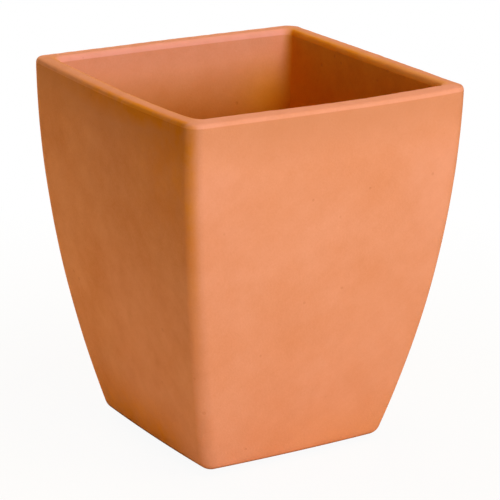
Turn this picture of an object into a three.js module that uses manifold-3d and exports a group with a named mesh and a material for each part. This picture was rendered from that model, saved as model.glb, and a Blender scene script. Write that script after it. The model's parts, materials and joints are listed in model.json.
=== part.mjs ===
// Tall square terracotta orchid pot: one clay body with bowed, tapering sides and a banded lip,
// a rubber plug that lifts out of its drain hole, and four cork foot pads glued into pockets.
// Millimetres, +Z up, origin at the middle of the plane that the pads stand on.
import * as THREE from "three";
import { mergeVertices } from "three/addons/utils/BufferGeometryUtils.js";
import Module from "manifold-3d";

// Clay body, outside form
const potHeight = 160; // underside to lip
const topWidth = 135.6; // across the flats at the lip
const baseWidth = 89.5; // across the flats where the sides would meet the underside
const belly = 5.4; // how far a side bows out past a straight taper, at mid height
const wallBow = 0.9; // how far a wall bows out in plan, at its middle
const cornerRadius = 6.5; // upright corners
const footRadius = 6.5; // between the sides and the underside

// Clay body, wall, lip and inside
const wallAtRim = 7.6;
const wallAtBase = 8.6;
const lipOuterDrop = 2.2; // from the top down to the lip's outer edge
const lipOuterLean = 0.45; // how far its outer band leans in
const lipOuterShoulder = 0.45; // from the top down to where that band turns over
const lipInnerDrop = 2.85; // the same three inside
const lipInnerLean = 0.45;
const lipInnerShoulder = 0.4;
const lipCrown = 5; // from the outer edge in to the highest line
const lipFlat = 0.3; // level strip along that line
const innerCornerRadius = 4; // upright corners inside
const floorThickness = 9;
const floorRadius = 6; // between the inner walls and the floor

// Drain hole and the dish under it
const drainRadius = 11;
const drainChamfer = 1; // at the hole's upper edge
const dishMargin = 8; // from the hole's edge to the dish's edge
const dishDepth = 2;

// Ribs on the floor, one towards each corner, that a culture pot stands on
const ribLength = 16;
const ribWidth = 5;
const ribHeight = 3.5;
const ribEdge = 1; // rounding of the top edge
const ribGap = 4; // from the plug's flange to the rib

// Drain plug
const plugClearance = 0.3; // between the plug and the clay, at the flange and round the beads
const stemInset = 1.1; // from the beads' outside to the stem
const tipRecess = 0.8; // from the dish's roof up to the stem's tip
const flangeLap = 6; // how far the flange reaches past the hole
const flangeThickness = 2.6;
const flangeEdge = 0.9;
const neckRadius = 4;
const neckHeight = 4.5;
const knobRadius = 7;
const knobUnderside = 1.5; // height of its slanted underside
const knobDome = 4.5;

// Foot pads and their pockets
const padRadius = 7;
const padThickness = 2.4;
const padEdge = 0.4;
const padMargin = 3.8; // from the edge of the flat underside to the pad
const pocketDepth = 1;
const pocketClearance = 0.4; // round the pad
const glueLine = 0.3; // between the pad and its pocket's roof

// How finely round stretches are divided
const sideSteps = 4;
const cornerSteps = 6;
const wallSteps = 11;
const roundSteps = 5;
const lipSteps = 6;
const turnSteps = 36;
const knobSteps = 6;
const solveSteps = 12;
const leastRadius = 0.5; // an upright corner never gets sharper than this
const cutOver = 1; // how far a cutter or a joined piece runs past the face it meets

// Sizes that follow from those above
const dishRadius = drainRadius + dishMargin;
const flangeRadius = drainRadius + flangeLap;
const beadRadius = drainRadius - plugClearance;
const stemRadius = beadRadius - stemInset;
const standHeight = padThickness - pocketDepth + glueLine; // the pads' underside to the clay's

// Colours of the fired clay, the plug and the pads
const clayFinish = { color: 0xe0925f, roughness: 0.9, metalness: 0 };
const rubberFinish = { color: 0x3a2f2a, roughness: 0.6, metalness: 0 };
const corkFinish = { color: 0xb98d5c, roughness: 0.95, metalness: 0 };

const wasm = await Module();
wasm.setup();

// Half the outside width across the flats, at height z above the underside: a taper plus a parabola.
function outerHalf(z) {
  const t = z / potHeight;
  const taper = (baseWidth + (topWidth - baseWidth) * t) / 2;
  return taper + belly * 4 * t * (1 - t);
}

// Half the inside width: the wall thins evenly from the underside to the lip.
function innerHalf(z) {
  const wall = wallAtBase + (wallAtRim - wallAtBase) * (z / potHeight);
  return outerHalf(z) - wall;
}

// A point turned by a number of quarter turns, at height z.
function quarterTurned(x, y, turns, z) {
  const angle = (turns * Math.PI) / 2;
  const cos = Math.cos(angle);
  const sin = Math.sin(angle);
  return [x * cos - y * sin, x * sin + y * cos, z];
}

// A level ring of the pot, counter-clockwise from above: four arched sides and four round corners.
// A corner starts at the angle at which the arched side runs into it.
function squareRing({ half, radius, z }) {
  const corner = Math.max(radius, leastRadius);
  const swing = Math.atan((2 * wallBow) / (half - corner));
  const centre = half - corner * Math.cos(swing);
  const reach = centre + corner * Math.sin(swing);
  const ring = [];
  for (let side = 0; side < 4; side += 1) {
    for (let i = 0; i < sideSteps; i += 1) {
      const s = (2 * i) / sideSteps - 1;
      const bowed = half + wallBow * (1 - s * s);
      ring.push(quarterTurned(bowed, s * reach, side, z));
    }
    for (let i = 0; i < cornerSteps; i += 1) {
      const angle = swing + (i / cornerSteps) * (Math.PI / 2 - 2 * swing);
      const x = centre + corner * Math.cos(angle);
      const y = centre + corner * Math.sin(angle);
      ring.push(quarterTurned(x, y, side, z));
    }
  }
  return ring;
}

// The round between leaning sides and the level plane at floorZ, as rings from the plane upwards.
// The height where it meets the side is found by repeated trial, because the lean changes with height.
function footRings(halfAt, round, floorZ, corner) {
  let z = floorZ;
  let lean = 0;
  for (let i = 0; i < solveSteps; i += 1) {
    lean = Math.atan((halfAt(z + 1) - halfAt(z - 1)) / 2);
    z = floorZ + round * (1 - Math.sin(lean));
  }
  const centre = halfAt(z) - round * Math.cos(lean);
  const rings = [];
  for (let i = 0; i <= roundSteps; i += 1) {
    const angle = Math.PI / 2 + (lean - Math.PI / 2) * (i / roundSteps);
    const half = centre + round * Math.cos(angle);
    rings.push({ half, radius: corner - (halfAt(z) - half), z: floorZ + round * (1 - Math.sin(angle)) });
  }
  return rings;
}

// Rings of a wall between two heights, leaving out both ends.
function wallRings(halfAt, corner, fromZ, toZ) {
  const rings = [];
  for (let i = 1; i < wallSteps; i += 1) {
    const z = fromZ + (toZ - fromZ) * (i / wallSteps);
    rings.push({ half: halfAt(z), radius: corner, z });
  }
  return rings;
}

// One side of the lip as rings, along a curve with two handles: a steep band leaves the upright face at a
// crisp edge and turns over into the domed top. A positive width draws the rings in, as outside, and a
// negative one spreads them, as inside.
function lipRings({ startHalf, width, drop, lean, shoulder, corner }) {
  const rings = [];
  for (let i = 0; i <= lipSteps; i += 1) {
    const t = i / lipSteps;
    const near = 3 * t * (1 - t) ** 2;
    const far = 3 * t ** 2 * (1 - t);
    const inward = Math.sign(width) * lean * (near + 2 * far) + width * t ** 3;
    const below = drop * (1 - t) ** 3 + shoulder * (near + 0.6 * far);
    rings.push({ half: startHalf - inward, radius: corner - inward, z: potHeight - below });
  }
  return rings;
}

// A closed skin over a stack of rings, with a fan of triangles over the first and the last ring.
function skinOf(rings) {
  const points = rings.flat();
  const count = rings[0].length;
  const faces = [];
  for (let level = 0; level + 1 < rings.length; level += 1) {
    for (let i = 0; i < count; i += 1) {
      const next = (i + 1) % count;
      const low = level * count;
      const high = low + count;
      faces.push(low + i, low + next, high + next);
      faces.push(low + i, high + next, high + i);
    }
  }
  const first = points.length;
  const last = first + 1;
  const lastRing = (rings.length - 1) * count;
  points.push([0, 0, rings[0][0][2]]);
  points.push([0, 0, rings[rings.length - 1][0][2]]);
  for (let i = 0; i < count; i += 1) {
    const next = (i + 1) % count;
    faces.push(first, next, i);
    faces.push(last, lastRing + i, lastRing + next);
  }
  const geometry = new THREE.BufferGeometry();
  geometry.setAttribute("position", new THREE.Float32BufferAttribute(points.flat(), 3));
  geometry.setIndex(faces);
  return geometry;
}

// A turned shape from [radius, height] points that run up the outside, from the axis back to the axis.
function turned(profile) {
  const points = profile.map(([radius, height]) => new THREE.Vector2(radius, height));
  return new THREE.LatheGeometry(points, turnSteps).rotateX(Math.PI / 2);
}

// Geometry as a solid that can be joined and cut, and back again.
function solidOf(geometry) {
  const bare = geometry.clone();
  bare.deleteAttribute("normal");
  bare.deleteAttribute("uv");
  const merged = mergeVertices(bare);
  const vertProperties = new Float32Array(merged.getAttribute("position").array);
  const triVerts = new Uint32Array(merged.index.array);
  return new wasm.Manifold(new wasm.Mesh({ numProp: 3, vertProperties, triVerts }));
}

function geometryOf(solid) {
  const { vertProperties, triVerts } = solid.getMesh();
  const geometry = new THREE.BufferGeometry();
  geometry.setAttribute("position", new THREE.Float32BufferAttribute(vertProperties, 3));
  geometry.setIndex(Array.from(triVerts));
  geometry.computeVertexNormals();
  return geometry;
}

function piece(name, geometry, finish) {
  const mesh = new THREE.Mesh(geometry, new THREE.MeshStandardMaterial(finish));
  mesh.name = name;
  return mesh;
}

// The foot's first ring is the edge of the flat underside, which places the pads.
const outerFoot = footRings(outerHalf, footRadius, 0, cornerRadius);
const padCentre = outerFoot[0].half - padMargin - padRadius;
const padPlaces = [
  { name: "front_left", x: -padCentre, y: -padCentre },
  { name: "front_right", x: padCentre, y: -padCentre },
  { name: "back_left", x: -padCentre, y: padCentre },
  { name: "back_right", x: padCentre, y: padCentre },
];

// Bare clay: up the outside, over the lip and down the inside to the floor.
function clayShell() {
  const outerStart = outerHalf(potHeight - lipOuterDrop);
  const outerLip = lipRings({
    startHalf: outerStart,
    width: lipCrown,
    drop: lipOuterDrop,
    lean: lipOuterLean,
    shoulder: lipOuterShoulder,
    corner: cornerRadius,
  });
  const innerStart = innerHalf(potHeight - lipInnerDrop);
  const innerTop = outerStart - lipCrown - lipFlat;
  const innerLip = lipRings({
    startHalf: innerStart,
    width: innerStart - innerTop,
    drop: lipInnerDrop,
    lean: lipInnerLean,
    shoulder: lipInnerShoulder,
    corner: innerCornerRadius,
  });
  const innerFoot = footRings(innerHalf, floorRadius, floorThickness, innerCornerRadius);
  const outerWall = wallRings(outerHalf, cornerRadius, outerFoot[roundSteps].z, outerLip[0].z);
  const innerWall = wallRings(innerHalf, innerCornerRadius, innerLip[0].z, innerFoot[roundSteps].z);
  const levels = [
    ...outerFoot,
    ...outerWall,
    ...outerLip,
    ...innerLip.reverse(),
    ...innerWall,
    ...innerFoot.reverse(),
  ];
  return solidOf(skinOf(levels.map(squareRing)));
}

// The drain hole with its chamfer, and the dish below it, as one cutter.
function drainCutter() {
  const flare = drainChamfer + cutOver;
  return solidOf(
    turned([
      [0, -cutOver],
      [dishRadius + cutOver, -cutOver],
      [dishRadius - dishDepth, dishDepth],
      [drainRadius, dishDepth],
      [drainRadius, floorThickness - drainChamfer],
      [drainRadius + flare, floorThickness + cutOver],
      [0, floorThickness + cutOver],
    ]),
  );
}

function pocketCutter({ x, y }) {
  const radius = padRadius + pocketClearance;
  const depth = pocketDepth + cutOver;
  const geometry = new THREE.CylinderGeometry(radius, radius, depth, turnSteps);
  geometry.rotateX(Math.PI / 2);
  return solidOf(geometry.translate(x, y, pocketDepth - depth / 2));
}

// A low bar with round ends, rooted in the floor and pointing from the drain hole to one corner.
function standingRib(turns) {
  const end = ribWidth / 2 - ribEdge;
  const straight = ribLength - ribWidth;
  const outline = new THREE.Shape();
  outline.absarc(straight, 0, end, -Math.PI / 2, Math.PI / 2);
  outline.absarc(0, 0, end, Math.PI / 2, (3 * Math.PI) / 2);
  const geometry = new THREE.ExtrudeGeometry(outline, {
    depth: ribHeight + cutOver - 2 * ribEdge,
    curveSegments: roundSteps,
    bevelThickness: ribEdge,
    bevelSize: ribEdge,
    bevelSegments: 2,
  });
  const nearEnd = flangeRadius + ribGap + ribWidth / 2;
  geometry.translate(nearEnd, 0, floorThickness - cutOver + ribEdge);
  return solidOf(geometry.rotateZ(Math.PI / 4 + (turns * Math.PI) / 2));
}

function potBody() {
  let clay = clayShell();
  for (let turns = 0; turns < 4; turns += 1) {
    clay = clay.add(standingRib(turns));
  }
  clay = clay.subtract(drainCutter());
  for (const place of padPlaces) {
    clay = clay.subtract(pocketCutter(place));
  }
  return piece("pot_body", geometryOf(clay), clayFinish);
}

// A rubber bung: a stem with two sealing beads, a flange that lies on the floor, and a knob to pull.
function drainPlug() {
  const seat = floorThickness + plugClearance;
  const tip = dishDepth + tipRecess;
  const throat = floorThickness - drainChamfer;
  const beadHeight = (throat - tip) / 3; // two beads with a plain band of the same height between them
  const upperBead = throat - beadHeight;
  const flangeTop = seat + flangeThickness;
  const knobEdge = flangeTop + neckHeight + knobUnderside;
  const profile = [
    [0, tip],
    [stemRadius, tip],
    [beadRadius, tip + beadHeight / 2],
    [stemRadius, tip + beadHeight],
    [stemRadius, upperBead],
    [beadRadius, upperBead + beadHeight / 2],
    [stemRadius, throat],
    [stemRadius, seat],
    [flangeRadius - flangeEdge, seat],
    [flangeRadius, seat + flangeEdge],
    [flangeRadius - flangeEdge, flangeTop],
    [neckRadius, flangeTop],
    [neckRadius, flangeTop + neckHeight],
  ];
  for (let i = 0; i <= knobSteps; i += 1) {
    const angle = (i / knobSteps) * (Math.PI / 2);
    const radius = i === knobSteps ? 0 : knobRadius * Math.cos(angle);
    profile.push([radius, knobEdge + knobDome * Math.sin(angle)]);
  }
  return piece("drain_plug", turned(profile), rubberFinish);
}

function footPad({ name, x, y }) {
  const geometry = turned([
    [0, 0],
    [padRadius - padEdge, 0],
    [padRadius, padEdge],
    [padRadius, padThickness],
    [0, padThickness],
  ]);
  const pad = piece(`foot_pad_${name}`, geometry, corkFinish);
  pad.position.set(x, y, 0);
  return pad;
}

const stood = new THREE.Group();
stood.position.z = standHeight;
stood.add(potBody(), drainPlug());

const orchidPot = new THREE.Group();
orchidPot.add(stood, ...padPlaces.map(footPad));

export default orchidPot;
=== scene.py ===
# %% [markdown]
# # A terracotta orchid pot
#
# This lesson dresses a plain construction model of a tall, square clay pot. The model comes in as a fixed
# frame: its pieces keep their places, and every new piece is built around them in the same metres. On the
# real pot there is one body of pressed and fired clay, a rubber plug in the drain hole, and four cork
# pads under the base.

# %% Load the frame
import json
import math

import bpy
from mathutils import Matrix, Vector, noise

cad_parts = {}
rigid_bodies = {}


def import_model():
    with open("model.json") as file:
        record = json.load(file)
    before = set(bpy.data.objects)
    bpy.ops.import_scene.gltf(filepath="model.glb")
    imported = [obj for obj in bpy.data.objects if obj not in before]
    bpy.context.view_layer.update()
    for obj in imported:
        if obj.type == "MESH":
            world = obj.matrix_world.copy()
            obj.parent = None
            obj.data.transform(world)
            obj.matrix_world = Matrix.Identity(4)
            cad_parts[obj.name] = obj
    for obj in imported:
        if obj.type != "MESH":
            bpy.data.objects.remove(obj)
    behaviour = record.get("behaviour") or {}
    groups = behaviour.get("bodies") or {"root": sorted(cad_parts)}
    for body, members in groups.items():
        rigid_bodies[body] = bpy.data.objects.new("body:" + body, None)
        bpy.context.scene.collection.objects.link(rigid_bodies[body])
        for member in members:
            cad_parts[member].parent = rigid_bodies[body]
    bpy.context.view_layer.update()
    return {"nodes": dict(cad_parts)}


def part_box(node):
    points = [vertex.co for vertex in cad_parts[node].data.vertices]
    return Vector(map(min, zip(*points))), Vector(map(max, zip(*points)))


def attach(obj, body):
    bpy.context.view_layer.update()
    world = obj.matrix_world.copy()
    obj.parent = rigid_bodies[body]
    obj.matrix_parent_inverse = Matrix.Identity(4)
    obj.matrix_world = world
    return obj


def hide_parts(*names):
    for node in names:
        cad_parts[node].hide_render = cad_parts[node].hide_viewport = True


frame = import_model()
MM = 0.001  # the frame is in metres; the pot's own sizes below are in millimetres


def in_mm(corner):
    return [round(value / MM, 2) for value in corner]


print("nodes:", sorted(frame["nodes"]))

# %% [markdown]
# ## The camera
#
# A product photographer stands about a metre away with a long lens, above one upright corner, so that two
# walls and a little of the inside show. The camera could be turned by eye, but its values here come from
# fitting the pot's outline, which also gives the slight roll. The aim is the middle of the clay, moved by
# a few millimetres to centre the pot in the picture.

# %% Place the camera
VIEW_AZIMUTH = -32.30
VIEW_ELEVATION = 17.76
VIEW_ROLL = math.radians(0.93)
VIEW_DISTANCE = 1060.7 * MM
AIM_RIGHT = 2.84 * MM
AIM_UP = -0.35 * MM
FOCAL_PIXELS = 2440.6
IMAGE_PIXELS = 500
SENSOR_WIDTH = 36.0

clay_low, clay_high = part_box("pot_body")


def way_to(azimuth, elevation):
    """The direction of a place around the pot; azimuth 0 is straight in front of the bright wall."""
    turn, rise = math.radians(azimuth), math.radians(elevation)
    return Vector((math.sin(turn) * math.cos(rise), -math.cos(turn) * math.cos(rise), math.sin(rise)))


def place_camera():
    toward = way_to(VIEW_AZIMUTH, VIEW_ELEVATION)
    level = way_to(VIEW_AZIMUTH + 90, 0)
    above = toward.cross(level)
    right = level * math.cos(VIEW_ROLL) + above * math.sin(VIEW_ROLL)
    up = above * math.cos(VIEW_ROLL) - level * math.sin(VIEW_ROLL)
    aim = (clay_low + clay_high) / 2 + level * AIM_RIGHT + above * AIM_UP
    data = bpy.data.cameras.new("photo_view")
    data.sensor_width = SENSOR_WIDTH
    data.lens = SENSOR_WIDTH * FOCAL_PIXELS / IMAGE_PIXELS
    camera = bpy.data.objects.new("photo_view", data)
    turn = Matrix((right, up, toward)).transposed().to_4x4()
    camera.matrix_world = Matrix.Translation(aim + toward * VIEW_DISTANCE) @ turn
    bpy.context.scene.collection.objects.link(camera)
    bpy.context.scene.camera = camera
    return camera


camera = place_camera()
print("camera:", in_mm(camera.matrix_world.translation), "lens", round(camera.data.lens, 1))

# %% [markdown]
# ## A short way to write shader nodes
#
# Materials are made of nodes and links, and every link takes a line or two of Python. These helpers make
# a node, set or link its inputs by name and hand back one output, so that the recipes below stay
# readable.

# %% Node helpers
def srgb(red, green, blue):
    """A colour from 0 to 255 per channel, as the linear values that shaders use."""
    def linear(value):
        share = value / 255
        return share / 12.92 if share <= 0.04045 else ((share + 0.055) / 1.055) ** 2.4
    return (linear(red), linear(green), linear(blue), 1.0)


def feed(tree, socket, value):
    if isinstance(value, bpy.types.NodeSocket):
        tree.links.new(value, socket)
    else:
        socket.default_value = value


def add_node(tree, kind, settings=None, **inputs):
    """A new node; inputs are named with _ for each space."""
    node = tree.nodes.new(kind)
    for name, value in (settings or {}).items():
        setattr(node, name, value)
    for name, value in inputs.items():
        feed(tree, node.inputs[name.replace("_", " ")], value)
    return node


def maths(tree, operation, first, second=0.0):
    node = add_node(tree, "ShaderNodeMath", {"operation": operation})
    feed(tree, node.inputs[0], first)
    feed(tree, node.inputs[1], second)
    return node.outputs[0]


def remap(tree, value, low, high, to_low=0.0, to_high=1.0):
    node = add_node(tree, "ShaderNodeMapRange", Value=value, From_Min=low, From_Max=high)
    node.inputs["To Min"].default_value = to_low
    node.inputs["To Max"].default_value = to_high
    return node.outputs[0]


def mix_colours(tree, share, first, second, blend="MIX"):
    node = add_node(tree, "ShaderNodeMix", {"data_type": "RGBA", "blend_type": blend})
    sockets = {socket.identifier: socket for socket in node.inputs}
    feed(tree, sockets["Factor_Float"], share)
    feed(tree, sockets["A_Color"], first)
    feed(tree, sockets["B_Color"], second)
    return next(s for s in node.outputs if s.identifier == "Result_Color")


def new_material(name):
    """A material with a bare surface shader, and the object's own coordinates in metres."""
    material = bpy.data.materials.new(name)
    material.use_nodes = True
    tree = material.node_tree
    shader = tree.nodes["Principled BSDF"]
    coordinates = add_node(tree, "ShaderNodeTexCoord").outputs["Object"]
    return material, tree, shader, coordinates


print("orange clay in linear values:", [round(v, 3) for v in srgb(233, 150, 105)])

# %% [markdown]
# ## Light
#
# The pot stands in soft daylight. A window in front is the coolest lamp and lights the near wall. The sky
# and the ceiling are warmer and light the rim and the inside from above. A lamp behind lights the back
# and brushes the shaded wall, and a small card low on the left lifts that wall's foot. A bright world
# could light it all at once, but it would fill the shaded wall and the inside alike.

# %% Hang the lamps
LAMPS = {
    # azimuth and elevation in degrees; distance, width and height in metres; watts; colour
    "window": (3, 14, 1.3, 0.42, 0.24, 8.7, (0.90, 1.01, 1.48)),
    "skylight": (22, 56, 1.3, 0.5, 0.4, 5.0, (1.06, 0.93, 0.78)),
    "ceiling": (0, 85, 1.2, 0.6, 0.6, 3.4, (1.08, 0.80, 0.48)),
    "low_card": (-112, -13, 0.30, 0.3, 0.04, 0.12, (1.0, 0.86, 0.62)),
    "back_wall": (180, 20, 1.1, 0.6, 0.6, 6.8, (1.0, 0.97, 0.78)),
}

def add_lamp(name, target, azimuth, elevation, distance, width, height, watts, colour):
    data = bpy.data.lights.new(name, "AREA")
    data.shape = "RECTANGLE"
    data.size = width
    data.size_y = height
    data.energy = watts
    data.color = colour
    lamp = bpy.data.objects.new(name, data)
    way = way_to(azimuth, elevation)
    turn = (-way).to_track_quat("-Z", "Y").to_matrix().to_4x4()
    lamp.matrix_world = Matrix.Translation(target + way * distance) @ turn
    bpy.context.scene.collection.objects.link(lamp)


pot_middle = (clay_low + clay_high) / 2
for name, lamp in LAMPS.items():
    add_lamp(name, pot_middle, *lamp)
bpy.context.scene.view_settings.view_transform = "Standard"

# %% [markdown]
# ## Floor and background
#
# The floor is a warm pale card, and the light that it throws back up makes the shaded side a deeper
# orange. The camera sees the card as nearly white and keeps a trace of the shadow on it. More light would
# whiten it too, but would bleach the clay. So only rays that see the card or the world directly get the
# white, which adds no light to the pot, and the world itself gives almost nothing.

# %% Make the background and the floor
WHITE = (1.0, 1.0, 1.0, 1.0)
WORLD_COLOUR = (1.0, 0.85, 0.45, 1.0)
WORLD_STRENGTH = 0.01
FLOOR_COLOUR = (0.94, 0.79, 0.48, 1.0)
FLOOR_SIZE = 6.0
WHITE_SHARE = 0.94
SHADOW_REACH = 0.35
SHADOW_CORE = SHADOW_REACH / 3


def seen_directly(tree):
    """1 for rays from the camera, from a mirror or through glass, and 0 for light that is passed on."""
    path = add_node(tree, "ShaderNodeLightPath")
    camera_or_gloss = maths(tree, "MAXIMUM", path.outputs["Is Camera Ray"], path.outputs["Is Glossy Ray"])
    return maths(tree, "MAXIMUM", camera_or_gloss, path.outputs["Is Transmission Ray"])


def make_world():
    world = bpy.data.worlds.new("soft_room")
    world.use_nodes = True
    tree = world.node_tree
    room = tree.nodes["Background"]
    room.inputs["Color"].default_value = WORLD_COLOUR
    room.inputs["Strength"].default_value = WORLD_STRENGTH
    white = add_node(tree, "ShaderNodeBackground", Color=WHITE, Strength=1.0)
    either = add_node(tree, "ShaderNodeMixShader", Fac=seen_directly(tree))
    tree.links.new(room.outputs[0], either.inputs[1])
    tree.links.new(white.outputs[0], either.inputs[2])
    tree.links.new(either.outputs[0], tree.nodes["World Output"].inputs["Surface"])
    bpy.context.scene.world = world


def make_floor():
    half = FLOOR_SIZE / 2
    corners = [(-half, -half, 0), (half, -half, 0), (half, half, 0), (-half, half, 0)]
    mesh = bpy.data.meshes.new("pale_floor")
    mesh.from_pydata(corners, [], [(0, 1, 2, 3)])
    floor = bpy.data.objects.new("pale_floor", mesh)
    bpy.context.scene.collection.objects.link(floor)
    material = bpy.data.materials.new("pale_card")
    material.use_nodes = True
    tree = material.node_tree
    tree.nodes.remove(tree.nodes["Principled BSDF"])
    card = add_node(tree, "ShaderNodeBsdfDiffuse", Color=FLOOR_COLOUR)
    white = add_node(tree, "ShaderNodeEmission", Color=WHITE, Strength=1.0)
    place = add_node(tree, "ShaderNodeTexCoord").outputs["Object"]
    from_pot = add_node(tree, "ShaderNodeVectorMath", {"operation": "LENGTH"}, Vector=place)
    whiteness = remap(tree, from_pot.outputs["Value"], SHADOW_CORE, SHADOW_REACH, WHITE_SHARE, 1.0)
    share = maths(tree, "MULTIPLY", seen_directly(tree), whiteness)
    either = add_node(tree, "ShaderNodeMixShader", Fac=share)
    tree.links.new(card.outputs[0], either.inputs[1])
    tree.links.new(white.outputs[0], either.inputs[2])
    tree.links.new(either.outputs[0], tree.nodes["Material Output"].inputs["Surface"])
    mesh.materials.append(material)


make_world()
make_floor()
print("floor:", FLOOR_SIZE, "metres across, white for", WHITE_SHARE, "of its light near the pot")

# %% [markdown]
# ## The clay body: its outline
#
# A pressed pot has no straight line in it: each side is a taper plus a shallow parabola and is slightly
# arched in plan, the upright corners are round, and the wall thins towards the lip. The lip has a steep
# band on each side and a gently domed top. A subdivided box could be pushed into this form, but the
# formulas of the construction model give it exactly, at any fineness, so the skin is laid over level
# rings as a potter would read them: along the underside, up the outside, over the lip, down the inside
# and across the floor to the drain hole.

# %% Sizes of the clay, in millimetres
POT_HEIGHT = (clay_high.z - clay_low.z) / MM
TOP_WIDTH = 135.6
BASE_WIDTH = 89.5
BELLY = 5.4
WALL_BOW = 0.9
CORNER_RADIUS = 6.5
FOOT_RADIUS = 6.5
WALL_AT_RIM = 7.6
WALL_AT_BASE = 8.6
LIP_OUTER_DROP, LIP_OUTER_LEAN, LIP_OUTER_SHOULDER = 2.2, 0.45, 0.45
LIP_INNER_DROP, LIP_INNER_LEAN, LIP_INNER_SHOULDER = 2.85, 0.45, 0.4
LIP_CROWN = 5
LIP_FLAT = 0.3
INNER_CORNER_RADIUS = 4
FLOOR_THICKNESS = 9
FLOOR_RADIUS = 6
LEAST_RADIUS = 0.5


def outer_half(z):
    share = z / POT_HEIGHT
    return (BASE_WIDTH + (TOP_WIDTH - BASE_WIDTH) * share) / 2 + BELLY * 4 * share * (1 - share)


def inner_half(z):
    return outer_half(z) - WALL_AT_BASE - (WALL_AT_RIM - WALL_AT_BASE) * z / POT_HEIGHT


print("outside width at the base, middle and top:",
      [round(2 * outer_half(z), 1) for z in (0, POT_HEIGHT / 2, POT_HEIGHT)])

# %% Level rings
SIDE_STEPS = 84
CORNER_STEPS = 20
COLUMNS = 4 * (SIDE_STEPS + CORNER_STEPS)


def quarter_turned(x, y, turns):
    for _ in range(turns):
        x, y = -y, x
    return x, y


def square_ring(half, radius):
    """Points of a level section, counter-clockwise from above: arched sides and round corners."""
    corner = max(radius, LEAST_RADIUS)
    swing = math.atan(2 * WALL_BOW / (half - corner))
    centre = half - corner * math.cos(swing)
    reach = centre + corner * math.sin(swing)
    ring = []
    for side in range(4):
        for i in range(SIDE_STEPS):
            s = 2 * i / SIDE_STEPS - 1
            ring.append(quarter_turned(half + WALL_BOW * (1 - s * s), s * reach, side))
        for i in range(CORNER_STEPS):
            angle = swing + i / CORNER_STEPS * (math.pi / 2 - 2 * swing)
            x = centre + corner * math.cos(angle)
            y = centre + corner * math.sin(angle)
            ring.append(quarter_turned(x, y, side))
    return ring


BEARINGS = [math.atan2(y, x) for x, y in square_ring(outer_half(0), CORNER_RADIUS)]


def round_ring(radius):
    return [(radius * math.cos(bearing), radius * math.sin(bearing)) for bearing in BEARINGS]


def between(first, second, share):
    return [
        (a[0] + (b[0] - a[0]) * share, a[1] + (b[1] - a[1]) * share)
        for a, b in zip(first, second)
    ]


print("points on a ring:", COLUMNS)

# %% [markdown]
# ## The clay body: rows from the underside to the drain hole
#
# Each row is a ring at one height with three values for the clay's finish. Two are wear and painted
# light, one for the two sides whose faces in view lie in shade and one for the two lit sides. Above zero
# the clay is paler: a little rubbed wear on the foot's round, and painted light and highlight on the
# lip's bands and crest. Below zero it is painted shade, darker clay, which the outside has just under the
# lip, and below -1 deeper painted shade, as on the foot's lower edge. The third is painted shade, a
# deeper orange on the lip's bands and the wall just below them. The rounds at the foot and the floor are
# arcs that meet their neighbours without a kink. Each band of the lip leaves the wall at a crisp edge and
# turns over into the top along a cubic curve with two handles. A bevel could stand in for it, but it
# would catch the light as one flat strip. A narrow strip of wall just below the lip keeps the crisp edge
# from blurring.

# %% Rows of the foot, the walls and the lip
ROUND_STEPS = 14
WALL_STEPS = 130
LIP_STEPS = 18
# a pair in brackets is for the shaded sides and for the lit sides
# the foot's round: a little rubbed wear, and painted shade along its lower edge
FOOT_WEAR, FOOT_EDGE_SHADE = 0.15, 1.7
FOOT_SHADE_FROM, FOOT_SHADE_FULL = (0.92, 0.72), (0.68, 0.5)
# painted light and highlight: paler clay on the lip's outer and inner bands and on its crest
OUTER_BAND_LIGHT, INNER_BAND_HIGHLIGHT, CROWN_HIGHLIGHT = (0.6, 0.25), (1.0, 1.0), (0.45, 0.75)
# painted shade: a deeper orange on the lip's bands and the wall just below them
BAND_TONE, BAND_TONE_FROM = 1.0, 146.0
# painted shade: darker clay just under the lip
UNDER_LIP_SHADE, UNDER_LIP_SHADE_FROM = 0.55, 134.0
EDGE_STRIP = 0.3
SOLVE_STEPS = 12
SECOND_HANDLE = 0.6
CROWN_FROM, CROWN_FULL = 0.3, 0.8
BAND_FADES, BAND_ENDS = 0.5, 0.85


def smooth_step(low, high, value):
    share = min(max((value - low) / (high - low), 0.0), 1.0)
    return share * share * (3 - 2 * share)


def foot_rows(half_at, radius, floor_z, corner, wear, contact_shade):
    """The round between leaning sides and a level plane, from the plane upwards."""
    z, lean = floor_z, 0.0
    for _ in range(SOLVE_STEPS):
        lean = math.atan((half_at(z + 1) - half_at(z - 1)) / 2)
        z = floor_z + radius * (1 - math.sin(lean))
    centre = half_at(z) - radius * math.cos(lean)
    rows = []
    for i in range(ROUND_STEPS + 1):
        share = i / ROUND_STEPS
        angle = math.pi / 2 + (lean - math.pi / 2) * share
        half = centre + radius * math.cos(angle)
        ring = square_ring(half, corner - (half_at(z) - half))
        wear_and_light = wear * math.sin(math.pi * share)
        # painted shade along the round's lower edge
        values = [wear_and_light - contact_shade * smooth_step(*ends, share) for ends in zip(FOOT_SHADE_FROM, FOOT_SHADE_FULL)]
        rows.append((ring, floor_z + radius * (1 - math.sin(angle)), (*values, 0.0)))
    return rows


def wall_rows(half_at, corner, from_z, to_z, under_lip_shade, band_tone):
    heights = [from_z + (to_z - from_z) * i / WALL_STEPS for i in range(1, WALL_STEPS)]
    at_lip = max(from_z, to_z) - EDGE_STRIP
    rows = []
    for z in sorted([*heights, at_lip], reverse=from_z > to_z):
        # painted shade just under the lip
        wear_and_light = -under_lip_shade * smooth_step(UNDER_LIP_SHADE_FROM, at_lip, z)
        # painted shade: a deeper orange on the wall just below the lip
        tone = band_tone * smooth_step(BAND_TONE_FROM, at_lip, z)
        rows.append((square_ring(half_at(z), corner), z, (wear_and_light, wear_and_light, tone)))
    return rows


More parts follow.
